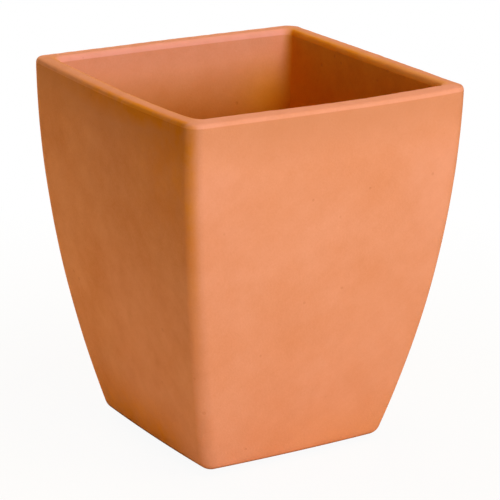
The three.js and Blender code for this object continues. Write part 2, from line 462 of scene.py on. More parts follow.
def lip_rows(start_half, width, drop, lean, shoulder, corner, band_light):
    """A steep band that leaves the upright face at a crisp edge and turns over into the domed top."""
    rows = []
    for i in range(LIP_STEPS + 1):
        share = i / LIP_STEPS
        rest = 1 - share
        near, far = 3 * share * rest ** 2, 3 * share ** 2 * rest
        inward = math.copysign(lean * (near + 2 * far), width) + width * share ** 3
        below = drop * rest ** 3 + shoulder * (near + SECOND_HANDLE * far)
        crown = smooth_step(CROWN_FROM, CROWN_FULL, share)
        # painted light and highlight on the band and the crest
        wear = [band + (top - band) * crown for band, top in zip(band_light, CROWN_HIGHLIGHT)]
        ring = square_ring(start_half - inward, corner - inward)
        # painted shade: a deeper orange on the band
        tone = BAND_TONE * (1 - smooth_step(BAND_FADES, BAND_ENDS, share))
        rows.append((ring, POT_HEIGHT - below, (*wear, tone)))
    return rows


outer_foot = foot_rows(outer_half, FOOT_RADIUS, 0, CORNER_RADIUS, FOOT_WEAR, FOOT_EDGE_SHADE)
inner_foot = foot_rows(inner_half, FLOOR_RADIUS, FLOOR_THICKNESS, INNER_CORNER_RADIUS, 0.0, 0.0)
lip_start = outer_half(POT_HEIGHT - LIP_OUTER_DROP)
outer_lip = lip_rows(lip_start, LIP_CROWN, LIP_OUTER_DROP, LIP_OUTER_LEAN, LIP_OUTER_SHOULDER,
                     CORNER_RADIUS, OUTER_BAND_LIGHT)
inner_start = inner_half(POT_HEIGHT - LIP_INNER_DROP)
inner_width = inner_start - (lip_start - LIP_CROWN - LIP_FLAT)
inner_lip = lip_rows(inner_start, inner_width, LIP_INNER_DROP, LIP_INNER_LEAN, LIP_INNER_SHOULDER,
                     INNER_CORNER_RADIUS, INNER_BAND_HIGHLIGHT)
outer_wall = wall_rows(outer_half, CORNER_RADIUS, outer_foot[-1][1], outer_lip[0][1], UNDER_LIP_SHADE, BAND_TONE)
inner_wall = wall_rows(inner_half, INNER_CORNER_RADIUS, inner_lip[0][1], inner_foot[-1][1], 0.0, 0.0)
print("rows over the walls and the lip:", sum(map(len, (outer_foot, outer_wall, outer_lip, inner_lip))))

# %% [markdown]
# ## The floor, its ribs and the drain hole
#
# The floor runs from the square of the walls to the round of the drain hole, so its rings change shape
# step by step. Four low ribs point to the corners and hold the plant's inner pot clear of standing water.
# They are pressed from the same clay, so they are raised out of the floor's own points instead of being
# set on it. Below the hole is a shallow dish, which keeps the hole's edge off the table.

# %% Rows of the floor, the hole and the underside
DRAIN_RADIUS = 11
DRAIN_CHAMFER = 1
DISH_RADIUS = 19
DISH_DEPTH = 2
RIB_NEAR, RIB_FAR = 23.5, 34.5
RIB_HALF_WIDTH = 2.5
RIB_HEIGHT = 3.5
RIB_EDGE = 1
FLOOR_STEPS = 56
UNDERSIDE_STEPS = 22
HOLE_STEPS = 6
PLAIN = (0.0, 0.0, 0.0)


def rib_height(x, y):
    """Height of the ribs over the floor, which lie along both diagonals."""
    outwards = (abs(x) + abs(y)) / math.sqrt(2)
    across = (abs(x) - abs(y)) / math.sqrt(2)
    beyond = outwards - min(max(outwards, RIB_NEAR), RIB_FAR)
    distance = math.hypot(across, beyond)
    return RIB_HEIGHT * smooth_step(RIB_HALF_WIDTH + RIB_EDGE / 2, RIB_HALF_WIDTH - RIB_EDGE, distance)


def floor_rows():
    edge = inner_foot[0][0]
    hole = round_ring(DRAIN_RADIUS + DRAIN_CHAMFER)
    return [(between(edge, hole, i / FLOOR_STEPS), FLOOR_THICKNESS, PLAIN) for i in range(1, FLOOR_STEPS)]


def hole_rows():
    """From the chamfered upper edge down the hole, then along the dish's roof and wall."""
    throat = FLOOR_THICKNESS - DRAIN_CHAMFER
    roof = DISH_RADIUS - DISH_DEPTH
    shares = [i / HOLE_STEPS for i in range(1, HOLE_STEPS + 1)]
    steps = [(DRAIN_RADIUS + DRAIN_CHAMFER, FLOOR_THICKNESS), (DRAIN_RADIUS, throat)]
    steps += [(DRAIN_RADIUS, throat - (throat - DISH_DEPTH) * share) for share in shares]
    steps += [(DRAIN_RADIUS + (roof - DRAIN_RADIUS) * share, DISH_DEPTH) for share in shares]
    steps += [(roof + DISH_DEPTH * share, DISH_DEPTH * (1 - share)) for share in shares]
    return [(round_ring(radius), z, PLAIN) for radius, z in steps]


def underside_rows():
    dish = round_ring(DISH_RADIUS)
    edge = outer_foot[0][0]
    return [(between(dish, edge, i / UNDERSIDE_STEPS), 0.0, PLAIN) for i in range(1, UNDERSIDE_STEPS)]


outside_rows = [*underside_rows(), *outer_foot, *outer_wall, *outer_lip]
inside_rows = [*reversed(inner_lip), *inner_wall, *reversed(inner_foot), *floor_rows(), *hole_rows()]
clay_rows = [*outside_rows, *inside_rows]
print("rows outside and inside:", len(outside_rows), len(inside_rows))

# %% [markdown]
# ## The clay body: wear, painted light and painted shade
#
# The pot's colour follows its form, and much of it is painted light and shade. On the two sides whose
# faces in view lie in shade, painted shade gives a deeper orange at the upright corners, beside them
# high up and on the lip's bands, and darker clay low down, while painted light makes the clay paler low
# on them. The foot has painted shade all round, most on these sides. Beside the corners of the two lit
# sides, painted highlight and rubbed wear make the clay paler. The inside has painted shade, deeper on
# its shaded wall and with depth on the lit ones. A painter would unwrap the skin and paint a picture on
# it. Here each point gets its values from where it lies, its column round the pot and its height, so
# they fit at any fineness.

# %% Wear, painted light and painted shade by column and height
# the two sides whose faces in view lie in shade; the other two are lit
SHADED_SIDES = (0, 2)
# strength of the painted shade at each upright corner, which each side runs between
CORNER_TONES = (1.0, 0.2, 1.0, 0.2)
TONE_SPREAD = 0.75 * SIDE_STEPS
# painted shade: a deeper orange at the upright corners
UPRIGHT_TONE, UPRIGHT_TONE_FROM = 0.8, 10.0
UPRIGHT_FULL, UPRIGHT_FADES, UPRIGHT_ENDS = 6, 8, 17  # columns into a corner
# painted shade: a deeper orange beside the corners, high on the shaded sides
BESIDE_TONE, BESIDE_TONE_FROM = 0.75, 90.0
BAND_REACH = 8  # columns into a corner
# painted shade inside: deeper all over the shaded wall, and with depth on the lit walls
INSIDE_TONES = (
    # columns past a shaded side; tone; heights at which it starts and is full
    (0, 1.0, 163.0, 156.0),
    (CORNER_STEPS, 1.0, 155.0, 127.0),
    (44, 0.59, 155.0, 122.0),
)
# painted shade: a deeper orange at the foot, on the shaded and on the lit sides
FOOT_TONES, FOOT_TONE_FROM = (0.85, 0.3), 32.0
FOOT_CLEAR = 30  # columns beside the deepest corners, without the foot's painted shade
# rubbed wear and painted highlight: paler clay beside the corners of the lit sides
CORNER_WEAR_AND_LIGHT, CORNER_LIGHT_FROM = 0.15, 40.0
CORNER_LIGHT_SPAN = (12, CORNER_STEPS, CORNER_STEPS + 2, 44)  # columns past a shaded side
# painted light: paler clay low on the shaded sides, towards their deeper corner
LOW_LIGHT, LOW_LIGHT_FROM, LOW_LIGHT_FULL = 0.35, 105.0, 70.0
LOW_LIGHT_TONES = (0.4, 0.8)  # tones of a side at which its painted light starts and is full
# painted shade: darker clay low on the shaded sides
LOW_SHADE, LOW_SHADE_FROM = 0.8, 20.0


def along(first, second, share):
    return first + (second - first) * share


def past_shaded_side(column):
    """Columns past the nearest shaded side: 0 or less on it, CORNER_STEPS or more on a lit side."""
    side, place = divmod(column, SIDE_STEPS + CORNER_STEPS)
    if place > SIDE_STEPS:
        turned = place - SIDE_STEPS
        return turned if side in SHADED_SIDES else CORNER_STEPS - turned
    inwards = min(place, SIDE_STEPS - place)
    return -inwards if side in SHADED_SIDES else CORNER_STEPS + inwards


def lit_side_share(past):
    """0 on the two shaded sides, 1 on the two lit sides."""
    return math.sin(math.pi / 2 * min(max(past / CORNER_STEPS, 0.0), 1.0))


def side_tone(column):
    """The tone of a side, which runs from that of its first corner to that of its second."""
    side, place = divmod(column, SIDE_STEPS + CORNER_STEPS)
    return along(CORNER_TONES[side - 1], CORNER_TONES[side], smooth_step(0, TONE_SPREAD, place))


def inside_tone(past, z):
    """Painted shade inside: a deeper tone from a shaded side through the corner to a lit side."""
    places, *_ = zip(*INSIDE_TONES)
    shadowed, corner, lit_wall = (tone * smooth_step(start, full, z) for _, tone, start, full in INSIDE_TONES)
    in_corner = along(shadowed, corner, smooth_step(places[0], places[1], past))
    return along(in_corner, lit_wall, smooth_step(places[1], places[2], past))


def foot_share(past, corner):
    """How far the foot's painted shade reaches: everywhere but near the deepest corners."""
    return 1 - corner * smooth_step(-FOOT_CLEAR, 0, past)


def band_share(past):
    """How far the lip's bands have painted shade: all along the shaded sides and a little way round."""
    return smooth_step(BAND_REACH, 0, past)


def outside_tone(past, corner, z, band_tone):
    """Painted shade outside: a deeper tone at the upright corners, beside them, on the lip and the foot.
    """
    beside = BESIDE_TONE * smooth_step(BESIDE_TONE_FROM, POT_HEIGHT, z)
    beside *= smooth_step(-SIDE_STEPS / 2, 0, past)
    upright = UPRIGHT_TONE * smooth_step(UPRIGHT_TONE_FROM, POT_HEIGHT, z)
    edge = along(beside, upright, smooth_step(0, UPRIGHT_FULL, past))
    edge *= smooth_step(UPRIGHT_ENDS, UPRIGHT_FADES, past)
    edge *= smooth_step(POT_HEIGHT, POT_HEIGHT - LIP_OUTER_DROP, z)
    band = band_tone * band_share(past)
    foot = along(*FOOT_TONES, lit_side_share(past)) * smooth_step(FOOT_TONE_FROM, 0.0, z)
    return max(corner * edge, corner * band, foot * foot_share(past, corner))


def outside_wear_and_light(past, corner, z):
    """Wear and painted highlight by the lit sides' corners; painted light and shade low on the others."""
    start, full, fades, ends = CORNER_LIGHT_SPAN
    across = smooth_step(start, full, past) * smooth_step(ends, fades, past)
    corner_wear_and_light = CORNER_WEAR_AND_LIGHT * across * smooth_step(CORNER_LIGHT_FROM, POT_HEIGHT, z)
    low_light = LOW_LIGHT * smooth_step(LOW_LIGHT_FROM, LOW_LIGHT_FULL, z) * smooth_step(*LOW_LIGHT_TONES, corner)
    low_shade = LOW_SHADE * smooth_step(LOW_SHADE_FROM, 0.0, z) * foot_share(past, corner)
    return corner_wear_and_light + (low_light - low_shade) * (1 - lit_side_share(past))


PASTS = [past_shaded_side(column) for column in range(COLUMNS)]
SIDE_TONES = [side_tone(column) for column in range(COLUMNS)]
print("columns on the fired sides:", sum(past <= 0 for past in PASTS))

# %% [markdown]
# ## The clay body: hand-made unevenness
#
# Real clay shrinks and is wiped by hand: the walls waver by a tenth or two of a millimetre, the lip is
# worn in small waves, the rim sags a little between its corners, and one wall came out thicker at the
# lip. A bump map could fake that, but it is a shape, so the points themselves move. The base and the
# floor stay true, because the pads and the plug fit them.

# %% Unevenness of the walls and the rim
WAVER_LONG, WAVER_LONG_DEPTH = 42.0, 0.16
WAVER_SHORT, WAVER_SHORT_DEPTH = 13.0, 0.045
WAVER_SHORT_SHIFT = Vector((7, 3, 1))
WAVER_LIP, WAVER_LIP_DEPTH, WAVER_LIP_FROM = 4.0, 0.12, 5.0
WAVER_LIP_SINK = 0.5  # takes the waves below the true form
TRUE_BELOW, WAVER_ABOVE = 14.0, 34.0
RIM_SAG = ((0.25, 0.0), (0.0, 0.0), (0.65, 0.5), (0.40, 0.9))
SAG_FROM = 90.0
THICKER, THICKER_FROM, THICKER_TO = 0.9, 3.0, 6.5


def rim_sag(column):
    """How far the rim sags between its corners, for each side its depth and its lean to one end."""
    side, place = divmod(column, SIDE_STEPS + CORNER_STEPS)
    s = min(1.0, 2 * place / SIDE_STEPS - 1)
    depth, skew = RIM_SAG[side]
    return depth * (1 - s * s) * (1 + skew * s)


def thicker(column, depth):
    """How far the inner face of the first wall stands in, at a depth from the outer face."""
    s = min(1.0, 2 * column / SIDE_STEPS - 1)
    return THICKER * (1 - s * s) * smooth_step(THICKER_FROM, THICKER_TO, depth)


def waver(point):
    long_wave = noise.noise(point / WAVER_LONG) * WAVER_LONG_DEPTH
    short_wave = noise.noise(point / WAVER_SHORT + WAVER_SHORT_SHIFT) * WAVER_SHORT_DEPTH
    on_lip = smooth_step(POT_HEIGHT - WAVER_LIP_FROM, POT_HEIGHT - LIP_OUTER_DROP, point.z)
    lip_wave = (noise.noise(point / WAVER_LIP) - WAVER_LIP_SINK) * WAVER_LIP_DEPTH * on_lip
    return (long_wave + short_wave + lip_wave) * smooth_step(TRUE_BELOW, WAVER_ABOVE, point.z)


print("deepest sag of the rim, in millimetres:", round(max(map(rim_sag, range(COLUMNS))), 2))

# %% [markdown]
# ## The clay body: its skin
#
# The rows become one closed skin, joined to itself through the drain hole. A sheet made thick by a
# modifier would have one thickness, but pressed clay is thinner at the lip than at the base. Each point
# also keeps its wear and painted light, its two tones of painted shade and its fire marks under a name,
# so that the finish can read them later.

# %% Lay the skin
def clay_finish(row, column):
    """Wear and painted light, inside and edge painted shade, and fire marks of one point of the skin."""
    _, z, (shaded_wear_and_light, lit_wear_and_light, band_tone) = clay_rows[row]
    past = PASTS[column]
    on_lit_side = lit_side_share(past)
    wear_and_light = along(shaded_wear_and_light, lit_wear_and_light, on_lit_side)
    if row >= len(outside_rows):
        # painted shade on the lip's inner bands of the shaded sides
        edge = band_tone * band_share(past) * SIDE_TONES[column]
        return wear_and_light, inside_tone(past, z), edge, 1 - on_lit_side
    wear_and_light += outside_wear_and_light(past, SIDE_TONES[column], z)
    return wear_and_light, 0.0, outside_tone(past, SIDE_TONES[column], z, band_tone), 1 - on_lit_side


def clay_skin():
    points, finish = [], []
    for row, (ring, z, _) in enumerate(clay_rows):
        sagging = smooth_step(SAG_FROM, POT_HEIGHT, z)
        for column, (x, y) in enumerate(ring):
            raised = rib_height(x, y) if z == FLOOR_THICKNESS else -sagging * rim_sag(column)
            if sagging:
                x -= sagging * thicker(column, outer_half(z) - x)
            points.append((x, y, z + raised))
            finish.append(clay_finish(row, column))
    faces = []
    for row in range(len(clay_rows)):
        low = row * COLUMNS
        high = (row + 1) % len(clay_rows) * COLUMNS
        for column in range(COLUMNS):
            after = (column + 1) % COLUMNS
            faces.append((low + column, low + after, high + after, high + column))
    mesh = bpy.data.meshes.new("clay_body")
    mesh.from_pydata(points, [], faces)
    for name, values in zip(("wear_light_and_shade", "deep_tone", "edge_tone", "fire_marks"), zip(*finish)):
        mesh.attributes.new(name, "FLOAT", "POINT").data.foreach_set("value", values)
    mesh.update()
    return mesh


def uneven(mesh):
    """Moves the skin along its normals, then sets it in the frame's metres."""
    moves = [vertex.normal * waver(vertex.co) for vertex in mesh.vertices]
    for vertex, move in zip(mesh.vertices, moves):
        vertex.co = (vertex.co + move) * MM + Vector((0, 0, clay_low.z))


clay_mesh = clay_skin()
uneven(clay_mesh)
print("skin:", len(clay_mesh.vertices), "points,", len(clay_mesh.polygons), "faces")

# %% [markdown]
# ## The clay body: pockets for the pads
#
# Four shallow round pockets in the underside take the cork pads. They could be part of the rows, but the
# rows there run from a round to a square, so plain upright cylinders are cut out instead. Then the skin
# is shaded smooth, with sharp edges only where the clay really has them.

# %% Cut the pad pockets
POCKET_RADIUS = 7.4
POCKET_DEPTH = 1.0
POCKET_STEPS = 72
SHARP_ANGLE = math.radians(40)


def show(name, mesh):
    piece = bpy.data.objects.new(name, mesh)
    bpy.context.scene.collection.objects.link(piece)
    return piece


def smooth(mesh):
    mesh.shade_smooth()
    mesh.set_sharp_from_angle(angle=SHARP_ANGLE)


def upright_plug(centre, radius, low, high, steps):
    """Points and faces of a closed upright cylinder, for cutting."""
    ring = [(2 * math.pi * i / steps) for i in range(steps)]
    points = [(centre.x + radius * math.cos(a), centre.y + radius * math.sin(a), low) for a in ring]
    points += [(x, y, high) for x, y, _ in points]
    faces = [(i, (i + 1) % steps, steps + (i + 1) % steps, steps + i) for i in range(steps)]
    return points, faces + [tuple(reversed(range(steps))), tuple(range(steps, 2 * steps))]


PAD_NODES = sorted(name for name in frame["nodes"] if name.startswith("foot_pad"))


def pocket_cutter():
    points, faces = [], []
    for node in PAD_NODES:
        low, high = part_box(node)
        roof = clay_low.z + POCKET_DEPTH * MM
        more, sides = upright_plug((low + high) / 2, POCKET_RADIUS * MM, low.z, roof, POCKET_STEPS)
        faces += [tuple(len(points) + i for i in side) for side in sides]
        points += more
    mesh = bpy.data.meshes.new("pocket_cutter")
    mesh.from_pydata(points, [], faces)
    return show("pocket_cutter", mesh)


def cut(piece, cutter):
    """Cuts one piece with another for good, and removes the cutter."""
    modifier = piece.modifiers.new("cut", "BOOLEAN")
    modifier.object = cutter
    modifier.operation = "DIFFERENCE"
    modifier.solver = "EXACT"
    view = bpy.context.evaluated_depsgraph_get()
    result = bpy.data.meshes.new_from_object(piece.evaluated_get(view))
    piece.modifiers.remove(modifier)
    piece.data = result
    bpy.data.objects.remove(cutter)


clay = show("clay_body", clay_mesh)
cut(clay, pocket_cutter())
smooth(clay.data)
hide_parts("pot_body")
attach(clay, "pot")
print("clay body:", len(clay.data.vertices), "points,", in_mm(clay.dimensions))

# %% [markdown]
# ## The drain plug
#
# The plug is a moulded rubber bung: a stem with two sealing beads, a flange that lies on the floor and a
# knob to pull. It is turned, so one outline is enough. Moulded rubber has no sharp edge, so each corner
# of the outline is rounded by its own radius before the outline is spun. A modifier could spin it too,
# but rings laid point by point close cleanly on the axis.

# %% Turned skins
TURN_STEPS = 96
ARC_STEPS = 5


def rounded(outline):
    """An outline of (radius, height, rounding) points with each corner turned into an arc."""
    points = []
    for i, (x, z, rounding) in enumerate(outline):
        here = Vector((x, z))
        if not rounding:
            points.append(here)
            continue
        back = Vector(outline[i - 1][:2]) - here
        ahead = Vector(outline[i + 1][:2]) - here
        reach = min(rounding, back.length / 2, ahead.length / 2)
        start, end = here + back.normalized() * reach, here + ahead.normalized() * reach
        for step in range(ARC_STEPS + 1):
            t = step / ARC_STEPS
            points.append(start * (1 - t) ** 2 + here * 2 * t * (1 - t) + end * t ** 2)
    return points


def turned_mesh(name, outline):
    """A closed turned skin; the outline runs up the outside from the axis back to the axis."""
    profile = rounded(outline)
    points = [(0, 0, profile[0].y)]
    for corner in profile[1:-1]:
        for i in range(TURN_STEPS):
            angle = 2 * math.pi * i / TURN_STEPS
            points.append((corner.x * math.cos(angle), corner.x * math.sin(angle), corner.y))
    points.append((0, 0, profile[-1].y))
    faces = []
    rings = len(profile) - 2
    for i in range(TURN_STEPS):
        after = (i + 1) % TURN_STEPS
        faces.append((0, 1 + after, 1 + i))
        for ring in range(rings - 1):
            low, high = 1 + ring * TURN_STEPS, 1 + (ring + 1) * TURN_STEPS
            faces.append((low + i, low + after, high + after, high + i))
        top = 1 + (rings - 1) * TURN_STEPS
        faces.append((top + i, top + after, len(points) - 1))
    mesh = bpy.data.meshes.new(name)
    mesh.from_pydata(points, [], faces)
    return mesh


print("steps round a turned piece:", TURN_STEPS)

# %% Build the drain plug
plug_low, plug_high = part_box("drain_plug")
PLUG_SEAT = 9.3
PLUG_TIP = 2.8
PLUG_STEM = 9.6
PLUG_BEAD = 10.7
PLUG_THROAT = 8.0
FLANGE_RADIUS = 17
FLANGE_TOP = 11.9
RING_OUTER, RING_INNER, RING_SLOPE, RING_DEPTH = 12.6, 10.8, 0.4, 0.5
NECK_RADIUS = 4
NECK_HEIGHT = 4.5
KNOB_RADIUS = 7
KNOB_EDGE = 17.9
KNOB_TOP = 22.4
KNOB_SHOULDER, KNOB_SHOULDER_DROP = 0.8 * KNOB_RADIUS, 1.0
KNOB_CROWN = 0.45 * KNOB_RADIUS
DIMPLE_EDGE, DIMPLE_FLOOR, DIMPLE_DEPTH = 2.0, 0.9, 0.6


def bead(low, high):
    middle = (low + high) / 2
    return [(PLUG_STEM, low, 0.2), (PLUG_BEAD, middle, 0.5), (PLUG_STEM, high, 0.2)]


def plug_outline():
    """Points of (radius, height, rounding) from the tip up to the top of the knob."""
    bead_height = (PLUG_THROAT - PLUG_TIP) / 3
    return [
        (0, PLUG_TIP, 0),
        *bead(PLUG_TIP, PLUG_TIP + bead_height),
        *bead(PLUG_THROAT - bead_height, PLUG_THROAT),
        (PLUG_STEM, PLUG_SEAT, 0.4),
        (FLANGE_RADIUS, PLUG_SEAT, 0.6),
        (FLANGE_RADIUS, FLANGE_TOP, 1.2),
        (RING_OUTER, FLANGE_TOP, 0.3),
        (RING_OUTER - RING_SLOPE, FLANGE_TOP - RING_DEPTH, 0.3),
        (RING_INNER + RING_SLOPE, FLANGE_TOP - RING_DEPTH, 0.3),
        (RING_INNER, FLANGE_TOP, 0.3),
        (NECK_RADIUS, FLANGE_TOP, 1.6),
        (NECK_RADIUS, FLANGE_TOP + NECK_HEIGHT, 0.8),
        (KNOB_RADIUS, KNOB_EDGE, 1.4),
        (KNOB_SHOULDER, KNOB_TOP - KNOB_SHOULDER_DROP, 2.4),
        (KNOB_CROWN, KNOB_TOP, 1.2),
        (DIMPLE_EDGE, KNOB_TOP, 0.8),
        (DIMPLE_FLOOR, KNOB_TOP - DIMPLE_DEPTH, 0.6),
        (0, KNOB_TOP - DIMPLE_DEPTH, 0),
    ]


plug_mesh = turned_mesh("drain_plug", plug_outline())
plug_mesh.transform(Matrix.Translation((0, 0, clay_low.z)) @ Matrix.Scale(MM, 4))
plug = show("rubber_plug", plug_mesh)
smooth(plug_mesh)
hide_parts("drain_plug")
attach(plug, "plug")
print("plug:", in_mm(plug_low), in_mm(plug_high), "new", in_mm(plug.dimensions))

# %% [markdown]
# ## The cork pads
#
# Each pad is punched from a sheet of pressed cork granules, so its edge is a little ragged and its face
# is not quite flat. It is turned like the plug, then its points sink by a hair where a granule has broken
# out. Nothing stands proud of the frame's own pad, because the pot rests on it.

# %% Build the pads
PAD_RADIUS = 7
PAD_THICKNESS = 2.4
PAD_EDGE = 0.5
PAD_RINGS = 10
PAD_SIDE_STEPS = 5
GRANULE = 1.1
GRANULE_DEPTH = 0.16


def pad_outline():
    radii = [PAD_RADIUS * i / PAD_RINGS for i in range(PAD_RINGS)]
    face = [(radius, 0, 0) for radius in radii]
    sides = [(PAD_RADIUS, PAD_THICKNESS * i / PAD_SIDE_STEPS, 0) for i in range(1, PAD_SIDE_STEPS)]
    roof = [(radius, PAD_THICKNESS, 0) for radius in reversed(radii)]
    return [*face, (PAD_RADIUS, 0, PAD_EDGE), *sides, (PAD_RADIUS, PAD_THICKNESS, PAD_EDGE), *roof]


def granulate(mesh, place):
    """Sinks each point by up to the depth of a granule."""
    for vertex in mesh.vertices:
        hollow = noise.noise((vertex.co + place) / GRANULE) * 0.5 + 0.5
        vertex.co -= vertex.normal * hollow * GRANULE_DEPTH


pads = []
for node in PAD_NODES:
    low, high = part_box(node)
    middle = (low + high) / 2
    pad_mesh = turned_mesh(node.replace("foot", "cork"), pad_outline())
    pad_mesh.update()
    granulate(pad_mesh, middle / MM)
    pad_mesh.transform(Matrix.Translation((middle.x, middle.y, low.z)) @ Matrix.Scale(MM, 4))
    pad = show(node.replace("foot", "cork"), pad_mesh)
    smooth(pad_mesh)
    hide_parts(node)
    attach(pad, "pot")
    pads.append(pad)
print("pads:", [pad.name for pad in pads])

# %% [markdown]
# ## Effects that the finishes share
#
# Clay, rubber and cork all vary in tone from patch to patch, and all have a fine grain with small pits.
# Both effects are built once as node groups, and each finish sets its own sizes. The sizes are in metres,
# so the grain keeps its true scale on every piece.

# %% Node groups
PIT_REACH = (0.10, 0.24)  # least and greatest, in shares of the spacing
NOISE_RANGE = (0.2, 0.8)  # what most values of a noise lie between


def new_group(name, inputs, outputs):
    tree = bpy.data.node_groups.new(name, "ShaderNodeTree")
    for label, kind in inputs:
        tree.interface.new_socket(label, in_out="INPUT", socket_type=kind)
    for label, kind in outputs:
        tree.interface.new_socket(label, in_out="OUTPUT", socket_type=kind)
    return tree, add_node(tree, "NodeGroupInput"), add_node(tree, "NodeGroupOutput")


def scaled(tree, vector, size):
    node = add_node(tree, "ShaderNodeVectorMath", {"operation": "SCALE"}, Vector=vector)
    feed(tree, node.inputs["Scale"], maths(tree, "DIVIDE", 1.0, size))
    return node.outputs[0]


def make_uneven_tone():
    """Soft patches around 0.5, spread by Contrast."""
    inputs = [
        ("Vector", "NodeSocketVector"),
        ("Patch Size", "NodeSocketFloat"),
        ("Contrast", "NodeSocketFloat"),
    ]
    tree, given, result = new_group("uneven_tone", inputs, [("Tone", "NodeSocketFloat")])
    place = scaled(tree, given.outputs["Vector"], given.outputs["Patch Size"])
    cloud = add_node(tree, "ShaderNodeTexNoise", Vector=place, Scale=1.0, Detail=4.0, Roughness=0.55)
    centred = maths(tree, "SUBTRACT", cloud.outputs[0], 0.5)
    spread = maths(tree, "MULTIPLY", centred, given.outputs["Contrast"])
    feed(tree, result.inputs["Tone"], maths(tree, "ADD", spread, 0.5))
    return tree


def make_pitted_grain():
    """A fine grain as height, and scattered pits as height and as a mask."""
    inputs = [
        ("Vector", "NodeSocketVector"),
        ("Grain Size", "NodeSocketFloat"),
        ("Pit Spacing", "NodeSocketFloat"),
        ("Pit Share", "NodeSocketFloat"),
    ]
    outputs = [("Height", "NodeSocketFloat"), ("Pits", "NodeSocketFloat")]
    tree, given, result = new_group("pitted_grain", inputs, outputs)
    fine = scaled(tree, given.outputs["Vector"], given.outputs["Grain Size"])
    grain = add_node(tree, "ShaderNodeTexNoise", Vector=fine, Scale=1.0, Detail=3.0, Roughness=0.6)
    wide = scaled(tree, given.outputs["Vector"], given.outputs["Pit Spacing"])
    cells = add_node(tree, "ShaderNodeTexVoronoi", Vector=wide, Scale=1.0)
    chance = add_node(tree, "ShaderNodeSeparateColor", Color=cells.outputs["Color"])
    chosen = maths(tree, "LESS_THAN", chance.outputs[0], given.outputs["Pit Share"])
    reach = remap(tree, chance.outputs[1], 0.0, 1.0, *PIT_REACH)
    near = maths(tree, "SUBTRACT", 1.0, maths(tree, "DIVIDE", cells.outputs["Distance"], reach))
    bowl = maths(tree, "MULTIPLY", maths(tree, "MAXIMUM", near, 0.0), chosen)
    pit = maths(tree, "MINIMUM", maths(tree, "MULTIPLY", bowl, 2.0), 1.0)
    feed(tree, result.inputs["Pits"], pit)
    feed(tree, result.inputs["Height"], maths(tree, "SUBTRACT", grain.outputs[0], pit))
    return tree


def place_group(tree, group, **inputs):
    return add_node(tree, "ShaderNodeGroup", {"node_tree": group}, **inputs).outputs


def weighted(tree, *terms):
    """The sum of some values, each times its own share."""
    parts = [maths(tree, "MULTIPLY", value, share) for value, share in terms]
    total = parts[0]
    for part in parts[1:]:
        total = maths(tree, "ADD", total, part)
    return total


def dress(piece, material):
    piece.data.materials.clear()
    piece.data.materials.append(material)


uneven_tone = make_uneven_tone()
pitted_grain = make_pitted_grain()
print("groups:", [group.name for group in bpy.data.node_groups])

# %% [markdown]
# ## Fired clay
#
# Unglazed terracotta is dry and dull, so its gloss is almost nil. Its colour is an orange that drifts
# between pink and ochre in soft patches a few centimetres wide, with a second, finer mottling and a
# grain. The walls were wiped with a sponge before firing, which leaves faint slanting streaks. The sides
# that stood close to other pots have stronger patches. Rubbed edges and painted light are a shade paler,
# painted shade is darker, and the two deeper tones of painted shade take blue and a little green out of
# the colour. A picture of clay could be wrapped round the pot, but it would stretch at the corners, and
# these patterns are solid: they run through the clay.

# %% Make the clay's finish
CLAY_PALE = srgb(241, 163, 115)
CLAY_DEEP = srgb(226, 142, 86)
# paler clay for rubbed wear, and for painted light and highlight
CLAY_RUBBED_AND_LIT = srgb(253, 174, 138)
# painted shade: darker clay under the lip, low on the shaded sides and at the foot
CLAY_SHADED = srgb(212, 136, 84)
# deeper painted shade at the foot's lower edge
CLAY_DEEP_SHADE = srgb(132, 76, 40)
CLAY_PIT = srgb(176, 98, 56)
# painted shade inside: takes out blue
INSIDE_SHADE_TINT = (1.0, 1.0, 0.12, 1.0)
# painted shade at the corners, the lip's bands and the foot: takes out blue and some green
EDGE_TINT = (1.0, 0.8, 0.08, 1.0)
PATCH_SIZE = 26 * MM
MOTTLE_SIZE = 7 * MM
STREAK_WIDTH = 3.0 * MM
STREAK_LENGTH = 46 * MM
STREAK_SLANT = math.radians(38)
GRAIN_SIZE = 0.9 * MM
PIT_SPACING = 4.6 * MM
PIT_SHARE = 0.07
BUMP_DEPTH = 0.16 * MM
PATCH_SHARE, MOTTLE_SHARE, STREAK_SHARE = 0.55, 0.3, 0.15
GRAIN_TONE = 0.12
MARK_STRENGTH = (1.15, 2.0)  # on the lit sides and on the shaded sides
MOTTLE_RANGE = (0.3, 0.7)
RUBBED_AND_LIT_COVER = (0.7, 0.95)
EDGE_COVER = (0.7, 1.2)
PIT_COVER = 0.12
CLAY_ROUGHNESS = (0.78, 0.92)
CLAY_GLOSS = 0.06


def wiped_streaks(tree, coordinates):
    """Long thin noise, slanted across each wall."""
    turned = add_node(tree, "ShaderNodeMapping", {"vector_type": "TEXTURE"}, Vector=coordinates)
    turned.inputs["Rotation"].default_value = (STREAK_SLANT, -STREAK_SLANT, 0)
    turned.inputs["Scale"].default_value = (STREAK_LENGTH, STREAK_LENGTH, STREAK_WIDTH)
    streak = add_node(tree, "ShaderNodeTexNoise", Vector=turned.outputs[0], Scale=1.0, Detail=2.0)
    return streak.outputs[0]


def painted(tree, name):
    """A value that was worked out for each point of the skin."""
    return add_node(tree, "ShaderNodeAttribute", {"attribute_name": name}).outputs["Fac"]


